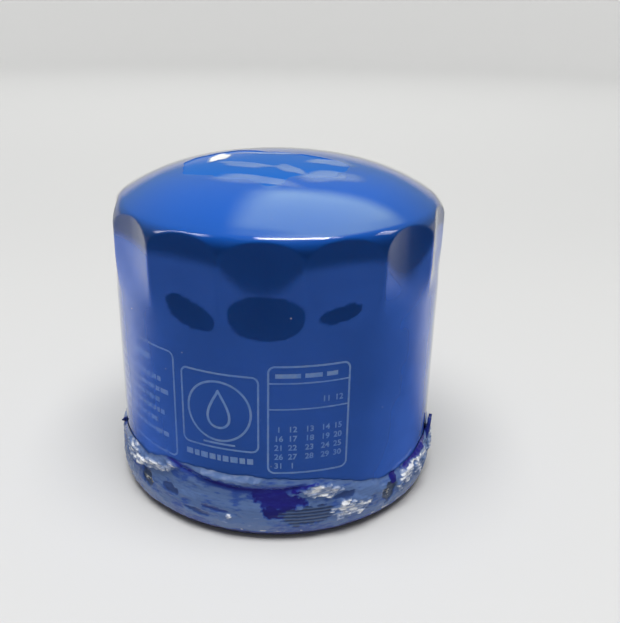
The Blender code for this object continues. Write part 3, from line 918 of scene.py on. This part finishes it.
def add_print(name, shapes, ink):
    """Printed shapes as one thin raised layer on the wall."""
    points, faces = merged(shapes)
    mesh = bpy.data.meshes.new(name)
    mesh.from_pydata((wrap(points) * MM).tolist(), [], faces)
    obj = link(name, mesh, ink)
    thick = obj.modifiers.new("ink", "SOLIDIFY")
    thick.thickness = INK_SHEET * MM
    thick.offset = 1.0


def along(degrees):
    """mm round the wall for an angle from -Y towards +X."""
    return radians(degrees) * CAN_R


def bar(x0, x1, y, height):
    return stroke(resampled([(x0, y), (x1, y)], 1.0), height)


def frame_line(left, right, low, high):
    """A panel's outline."""
    return stroke(rounded_box(left, right, low, high), 0.42, closed=True)


def build_number_panel(ink):
    left, right = along(-2.9), along(23.0)
    shapes = [frame_line(left, right, 17.2, 42.4)]
    for y in (38.6, 32.6):
        shapes.append(bar(left, right, y, 0.32))
    x = left + 1.4
    for width in (5.2, 3.6, 2.4):
        shapes.append(bar(x, x + width, 40.3, 1.0))
        x += width + 0.9
    columns = [left + share * (right - left) for share in (0.13, 0.30, 0.51, 0.71, 0.87)]
    for column, text in zip(columns[3:], ("11", "12")):
        shapes.append(digits(text, column, 34.0, DIGIT_SIZE))
    number_rows = ("1 12 13 14 15", "16 17 18 19 20", "21 22 23 24 25", "26 27 28 29 30", "31 1")
    for row, texts in enumerate(number_rows):
        for column, text in zip(columns, texts.split()):
            shapes.append(digits(text, column, 27.2 - row * 2.22, DIGIT_SIZE))
    add_print("print_numbers", shapes, ink)


def build_drop_panel(ink):
    """A plain square with an oil drop in a ring, over a row of short bars."""
    left, right, low, high = along(-31.9), along(-6.0), 22.1, 39.8
    shapes = [frame_line(left, right, low, high)]
    middle, centre = (left + right) / 2, (low + high) / 2
    turn = np.linspace(0, 2 * pi, 49)[:-1]
    ring = np.stack([middle + 7.0 * np.cos(turn), centre + 7.0 * np.sin(turn)], axis=1)
    shapes.append(stroke(ring, 0.5, closed=True))
    drop = []
    for t in np.linspace(0, 1, 41)[:-1]:
        a = 2 * pi * t
        wide = 3.4 * sin(a) * sin(a / 2) ** 1.4
        drop.append((middle + wide, centre + 0.5 + 4.4 * cos(a)))
    shapes.append(stroke(drop, 0.55, closed=True))
    shapes.append(bar(middle - 3.6, middle + 3.6, low + 1.1, 0.45))
    x = left + 0.6
    for width in (1.6, 1.2, 1.6, 1.4, 0.8, 1.3, 1.6, 1.2, 1.3):
        shapes.append(bar(x, x + width, 19.7, 1.4))
        x += width + 0.42
    add_print("print_drop", shapes, ink)


def build_text_panel(ink):
    """The left panel, with rows of bars where the real one has words."""
    left, right = along(-92.0), along(-35.2)
    shapes = [frame_line(left, right, 16.8, 42.2)]
    pick = random.Random(5)
    title = right - 15.0
    shapes.append(bar(title, right - 7.5, 38.9, 1.5))
    shapes.append(bar(title, right - 7.5, 37.3, 0.22))
    for row in range(6):
        y = 34.6 - row * 2.65
        x = left + 2.0
        stop = right - pick.uniform(0.9, 6.0)
        while x < stop - 1.0:
            width = pick.uniform(0.9, 2.4)
            shapes.append(bar(x, min(x + width, stop), y, 1.15))
            x += width + 0.35
    add_print("print_lines", shapes, ink)


# Rubber, paper and springs inside


def turned_ring(name, outline, radius, mat, body, steps=160):
    """A closed outline of (r, z), its corners rounded, turned round the axis."""
    middle = (np.array(outline[-1], float) + np.array(outline[0], float)) / 2
    path = np.array(eased([middle, *outline, middle], radius, 5))[:-1]
    return grid(name, spun(path, steps), mat, body, closed_columns=True, sharp=50)


def build_gasket(mat):
    """The moulded sealing ring: square cut with soft corners, a crowned face and a shallow groove."""
    low, high, inner, outer = 0.0, 4.6, 28.5, 32.5
    middle = (inner + outer) / 2
    outline = [(inner, low + 0.1), (middle, low), (outer, low + 0.1)]
    outline += [(outer, 1.9), (outer - 0.18, 2.3), (outer, 2.7), (outer, high)]
    outline += [(inner, high), (inner, 2.7), (inner + 0.18, 2.3), (inner, 1.9)]
    ring = turned_ring("gasket_ring", outline, 0.7, mat, SHELL, 240)
    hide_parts("gasket")


def build_drain_valve(mat):
    """The anti-drain-back valve as one moulding: a collar that stays, a bell web and a disc that lifts."""
    collar = [(12.8, 13.3), (12.8, 16.3), (11.1, 16.5), (11.1, 17.3), (12.2, 17.6), (15.2, 17.6), (15.4, 17)]
    top = [(15.4, 14.7), (16.2, 13.7), (18.2, 12.5), (20.0, 12.2), (24.0, 11.3), (28.3, 10.9), (29.5, 10.7)]
    under = [(29.5, 9.55), (28.8, 9.5), (27.6, 9.9), (24.0, 10.2), (20.0, 10.8), (17.8, 11.2), (15.4, 12.7)]
    outline = collar + top + under
    middle = (np.array(outline[-1]) + np.array(outline[0])) / 2
    path = resampled(eased([middle, *outline, middle], 0.35, 4), 0.5)[:-1]
    points = spun(path, 240)
    r, angle = polar(points)
    points[..., 2] += 0.09 * np.sin(30 * angle) * bell(r, 24.0, 3.0)
    valve = grid("drain_valve_rubber", points, mat, None, closed_columns=True)
    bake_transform(valve)
    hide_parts("drain_valve_collar", "drain_valve_flap")


def pleat_path():
    """The middle line of the folded paper, once round, with round folds."""
    step = 2 * pi / PLEATS
    made = []

    def fold(turn, centre, reach):
        for a in np.linspace(-pi / 2, pi / 2, 7):
            r, side = centre + reach * cos(a), abs(reach) * sin(a)
            x = r * cos(turn) - side * sin(turn)
            made.append((x, r * sin(turn) + side * cos(turn)))

    for k in range(PLEATS):
        fold(k * step, 31.3, 0.82)
        fold((k + 0.5) * step, 18.0, -0.53)
    return resampled(made + made[:1], 1.6)[:-1]


def build_media(mat):
    """The folded paper, slightly bowed between its glued ends."""
    path = pleat_path()
    ahead = unit(np.roll(path, -1, axis=0) - np.roll(path, 1, axis=0))
    across = np.stack([ahead[:, 1], -ahead[:, 0]], axis=1)
    low, high = 20.0, 60.4
    rings = []
    for side, heights in ((1, np.linspace(low, high, 17)), (-1, np.linspace(high, low, 17))):
        for z in heights:
            bow = sin(pi * (z - low) / (high - low))
            sway = 0.10 * bow * np.sin(path[:, 0] * 0.35 + path[:, 1] * 0.27 + z * 0.12)
            flat = path + across * (side * PAPER / 2 + sway[:, None])
            rings.append(np.concatenate([flat, np.full((len(flat), 1), z)], axis=1))
    media = grid("pleated_paper", rings, mat, ELEMENT, closed_columns=True, sharp=60)
    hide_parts("pleated_media")


def build_potting(mat):
    """Cured adhesive that has crept up the paper and the walls of each cap."""
    for node, back, face in (("lower_potting", 18.7, 20.3), ("upper_potting", 61.7, 60.1)):
        creep = 0.5 if face > back else -0.5
        outline = [(16.7, back), (32.8, back), (32.8, face + creep), (32.0, face)]
        outline += [(24.5, face - creep * 0.4), (17.6, face), (16.7, face + creep)]
        bead = turned_ring(node + "_bead", outline, 0.6, mat, ELEMENT, 200)
        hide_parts(node)


def build_bypass_seal(mat):
    """The seal on the poppet, with a raised lip where it meets its seat."""
    outline = [(4.95, 60.95), (8.55, 60.95), (8.55, 61.4), (8.2, 61.6)]
    outline += [(7.2, 61.7), (6.2, 61.55), (4.95, 61.45)]
    seal = turned_ring("bypass_seal_ring", outline, 0.25, mat, POPPET, 120)
    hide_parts("bypass_seal")


COIL_STEPS = 56
COIL_SIDES = 18


def coil(name, radii, heights, wire, turns, mat):
    """A round-wire compression spring whose end turns close up and are ground flat."""
    steps = int(turns * COIL_STEPS)
    ends = 0.75 / turns
    rise = heights[1] - heights[0]
    closed = 2.3 * wire / rise
    line = []
    for t in np.linspace(0, 1, steps + 1):
        if t < ends:
            share = closed * t / ends
        elif t > 1 - ends:
            share = 1 - closed * (1 - t) / ends
        else:
            share = closed + (1 - 2 * closed) * (t - ends) / (1 - 2 * ends)
        turn = 2 * pi * turns * t
        r = radii[0] + (radii[1] - radii[0]) * t
        line.append((r * cos(turn), r * sin(turn), heights[0] + rise * share))
    line = np.array(line)
    out = unit(line * (1, 1, 0))
    up = np.cross(unit(np.gradient(line, axis=0)), out)
    a = np.arange(COIL_SIDES)[:, None] * 2 * pi / COIL_SIDES
    rings = [np.repeat(line[:1], COIL_SIDES, axis=0)]
    for i in range(len(line)):
        ring = line[i] + wire * (np.cos(a) * out[i] + np.sin(a) * up[i])
        ring[:, 2] = np.clip(ring[:, 2], heights[0] - wire * 0.75, heights[1] + wire * 0.75)
        rings.append(ring)
    rings.append(np.repeat(line[-1:], COIL_SIDES, axis=0))
    return grid(name, rings, mat, None)


def build_springs(mat):
    support = coil("support_coil", (16.5, 12.5), (63.7, 73.7), 0.8, 3.5, mat)
    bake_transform(support)
    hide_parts("support_spring")
    bypass = coil("bypass_coil", (6.1, 6.1), (49.85, 59.05), 0.45, 5.0, mat)
    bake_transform(bypass)
    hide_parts("bypass_spring")


# Stage, camera and lights


def build_stage():
    """A sweep of pale paper, painted lighter towards the back to stand in for light, which fades out above
    the filter's height into the plain backdrop.
    """
    n = Nodes("stage_paper")
    _, y, z = n.axes()
    near = n.blend(n.noise(2.0, 2.0), (0.60, 0.60, 0.595, 1), (0.62, 0.62, 0.615, 1))
    # Painted light: the paper turns lighter from 0.15 m to 0.8 m behind the filter.
    tone = n.blend(n.ramp(y, 0.15, 0.8), near, (0.86, 0.86, 0.85, 1))
    matte = n.principled(tone, 0.9, Specular_IOR_Level=0.1)
    paper = n.shown(n.mixed(n.ramp(z, 0.16, 0.38), matte, n.clear()))
    profile = [(r, 0.0) for r in (0.0, 200.0, 600.0, STAGE_R)]
    for a in np.linspace(0.1, 1.45, 14):
        profile.append((STAGE_R + STAGE_BEND * sin(a), STAGE_BEND * (1 - cos(a))))
    grid("sweep", spun(profile, 96), paper, None)


def aim_at_filter(obj, azimuth, elevation, distance, front):
    """Places obj that far from the filter, facing it. Azimuth 0 is behind it (+Y) and 90 is to its right."""
    a, e = radians(azimuth), radians(elevation)
    way = Vector((sin(a) * cos(e), cos(a) * cos(e), sin(e)))
    obj.location = Vector((0, 0, 0.045)) + way * distance
    obj.rotation_mode = "QUATERNION"
    obj.rotation_quaternion = (-way).to_track_quat(front, "Y")


def add_area(name, azimuth, elevation, distance, size, power):
    """A rectangular light that is left out of reflections: the cards are there for those."""
    data = bpy.data.lights.new(name, "AREA")
    data.shape = "RECTANGLE"
    data.size, data.size_y = size
    data.energy = power
    light = bpy.data.objects.new(name, data)
    light.visible_glossy = False
    bpy.context.scene.collection.objects.link(light)
    aim_at_filter(light, azimuth, elevation, distance, "-Z")


def build_world():
    """Even grey light, a pale backdrop for the camera and a darker room for reflections."""
    world = bpy.data.worlds.new("studio")
    bpy.context.scene.world = world
    world.use_nodes = True
    tree = world.node_tree
    tree.nodes.clear()
    path = tree.nodes.new("ShaderNodeLightPath")

    def shade(tone):
        background = tree.nodes.new("ShaderNodeBackground")
        background.inputs["Color"].default_value = (*tone, 1)
        return background.outputs[0]

    mixed = shade((WORLD_LIGHT,) * 3)
    for ray, tone in (("Is Glossy Ray", (0.24, 0.33, 0.33)), ("Is Camera Ray", (0.66, 0.66, 0.66))):
        mix = tree.nodes.new("ShaderNodeMixShader")
        tree.links.new(path.outputs[ray], mix.inputs[0])
        tree.links.new(mixed, mix.inputs[1])
        tree.links.new(shade(tone), mix.inputs[2])
        mixed = mix.outputs[0]
    out = tree.nodes.new("ShaderNodeOutputWorld")
    tree.links.new(mixed, out.inputs["Surface"])


def only_mirrored(obj):
    """Makes the object a piece of the studio that only reflections see."""
    obj.visible_camera = False
    obj.visible_shadow = False
    obj.visible_diffuse = False


def add_card(name, azimuth, elevation, size, strength, soft, colour=(1, 1, 1, 1)):
    """A glowing card with soft edges that faces the filter."""
    n = Nodes(name)
    fades = []
    for place, width in zip(n.axes(), size):
        edge = width / 2
        fades.append(n.ramp(n.maths("ABSOLUTE", place), edge * (1 - soft), edge, 1.0, 0.0))
    glow = n.add("Emission", {"Strength": strength, "Color": colour}).outputs[0]
    mat = n.shown(n.mixed(n.maths("MULTIPLY", *fades), n.clear(), glow))
    mesh = bpy.data.meshes.new(name)
    x, y = size[0] / 2, size[1] / 2
    mesh.from_pydata([(-x, -y, 0), (x, -y, 0), (x, y, 0), (-x, y, 0)], [], [(0, 1, 2, 3)])
    card = link(name, mesh, mat, None)
    only_mirrored(card)
    aim_at_filter(card, azimuth, elevation, CARD_DISTANCE, "Z")


def add_dark_side():
    """The unlit side of the room behind the camera: a near-black sheet over the table in front and up behind
    the camera, standing in for the shade there.
    """
    n = Nodes("dark_room")
    x, y, _ = n.axes()
    turn = n.maths("ARCTAN2", x, n.maths("MULTIPLY", y, -1.0))
    turn = n.maths("ABSOLUTE", n.maths("SUBTRACT", turn, radians(DARK_TURN)))
    fade = n.ramp(turn, radians(DARK_SOLID), radians(DARK_END), 1.0, 0.0)
    # Painted shade: the sheet's near-black colour stands for the shaded side of the room and the shadow on
    # the table in front.
    dull = n.principled((0.05, 0.05, 0.055, 1), 0.9, Specular_IOR_Level=0.0)
    mat = n.shown(n.mixed(fade, n.clear(), dull))
    profile = [(DARK_START, DARK_GAP), (DARK_R, DARK_GAP)]
    for climb in np.radians(range(6, 73, 6)):
        profile.append((DARK_R * cos(climb), DARK_GAP + DARK_R * sin(climb)))
    turns = np.radians(np.linspace(-DARK_END, DARK_END, 41) + DARK_TURN - 90.0)
    only_mirrored(grid("dark_room", spun(profile, turns), mat, None, closed_rings=False))


def build_lights():
    add_area("overhead", -175, 80, 1.3, (1.1, 0.8), 22.8)
    add_card("back_window", 21, 62, (0.98, 1.0), 2.5, 0.45, (0.80, 1.0, 0.55, 1))
    add_card("lamp_over", 90, 82, (0.18, 0.68), 18.0, 0.2)
    add_card("lamp_left", -87, 46, (0.20, 0.78), 10.0, 0.3)
    add_card("lamp_right", 78, 45, (0.22, 0.22), 8.0, 0.3)
    add_dark_side()


def build_camera():
    pitch, roll, yaw = (radians(d) for d in (22.9, 1.06, 1.71))
    ahead = Vector((sin(yaw) * cos(pitch), cos(yaw) * cos(pitch), -sin(pitch)))
    level = Vector((cos(yaw), -sin(yaw), 0.0))
    over = level.cross(ahead)
    right = level * cos(roll) + over * sin(roll)
    up = over * cos(roll) - level * sin(roll)
    data = bpy.data.cameras.new("camera")
    data.sensor_width = 36.0
    data.lens = 46.05
    data.shift_x = 0.016
    data.clip_start = 0.01
    camera = bpy.data.objects.new("camera", data)
    turn = Matrix((right, up, -ahead)).transposed().to_4x4()
    turn.translation = Vector((0.0, -0.181, 0.115))
    camera.matrix_world = turn
    bpy.context.scene.collection.objects.link(camera)
    bpy.context.scene.camera = camera


def dress_inside():
    """Materials for the CAD nodes that stay, and the soft pieces and springs between them."""
    zinc = metal_material("zinc_plate", (0.56, 0.57, 0.58), 0.34)
    tin = metal_material("tinned_sheet", (0.70, 0.70, 0.69), 0.26)
    bright = metal_material("bright_strip", (0.74, 0.74, 0.74), 0.22)
    wire = metal_material("spring_wire", (0.36, 0.36, 0.38), 0.3, (300.0, 300.0, 300.0), 0.1)
    black = soft_material("black_nitrile", (0.014, 0.014, 0.015), (0.028, 0.028, 0.028), 0.5, 120.0, 0.2)
    red = soft_material("red_silicone", (0.30, 0.075, 0.035), (0.40, 0.12, 0.06), 0.45, 90.0, 0.15)
    paper = soft_material("resin_paper", (0.50, 0.33, 0.12), (0.66, 0.47, 0.21), 0.8, 260.0, 0.4)
    glue = soft_material("cured_plastisol", (0.40, 0.12, 0.06), (0.52, 0.18, 0.10), 0.4, 70.0, 0.2)
    nylon = soft_material("natural_nylon", (0.66, 0.63, 0.56), (0.78, 0.76, 0.70), 0.38, 80.0, 0.1)
    wear = {
        "seaming_lid": tin,
        "base_plate": zinc,
        "lower_end_cap": zinc,
        "upper_end_cap": zinc,
        "media_seam_clip": bright,
        "centre_tube": zinc,
        "bypass_cage": tin,
        "bypass_poppet": nylon,
    }
    for node, mat in wear.items():
        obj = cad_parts[node]
        obj.data.materials.clear()
        obj.data.materials.append(mat)
    build_gasket(black)
    build_drain_valve(red)
    build_media(paper)
    build_potting(glue)
    build_bypass_seal(black)
    build_springs(wire)


def main():
    scene = bpy.context.scene
    scene.view_settings.view_transform = "Standard"
    build_camera()
    build_stage()
    build_world()
    build_lights()
    dress_inside()
    paint = paint_material()
    ink = print_material()
    build_canister(paint)
    build_number_panel(ink)
    build_drop_panel(ink)
    build_text_panel(ink)
    sleeve = build_film_sleeve(film_material())
    scraps_and_glare = build_remnants_and_glare(scrap_and_glare_material())
    gathered = band_material()
    band = build_film_band(gathered)
    flaps = [
        build_flap(gathered, "film_flap_right", 74.0, 7.4, (7.0, 4.4, 0.9), 2.2, 0.4),
        build_flap(gathered, "film_flap_left", -80.0, 8.6, (3.0, 4.0, 0.15), -0.4, 1.3),
    ]


main()
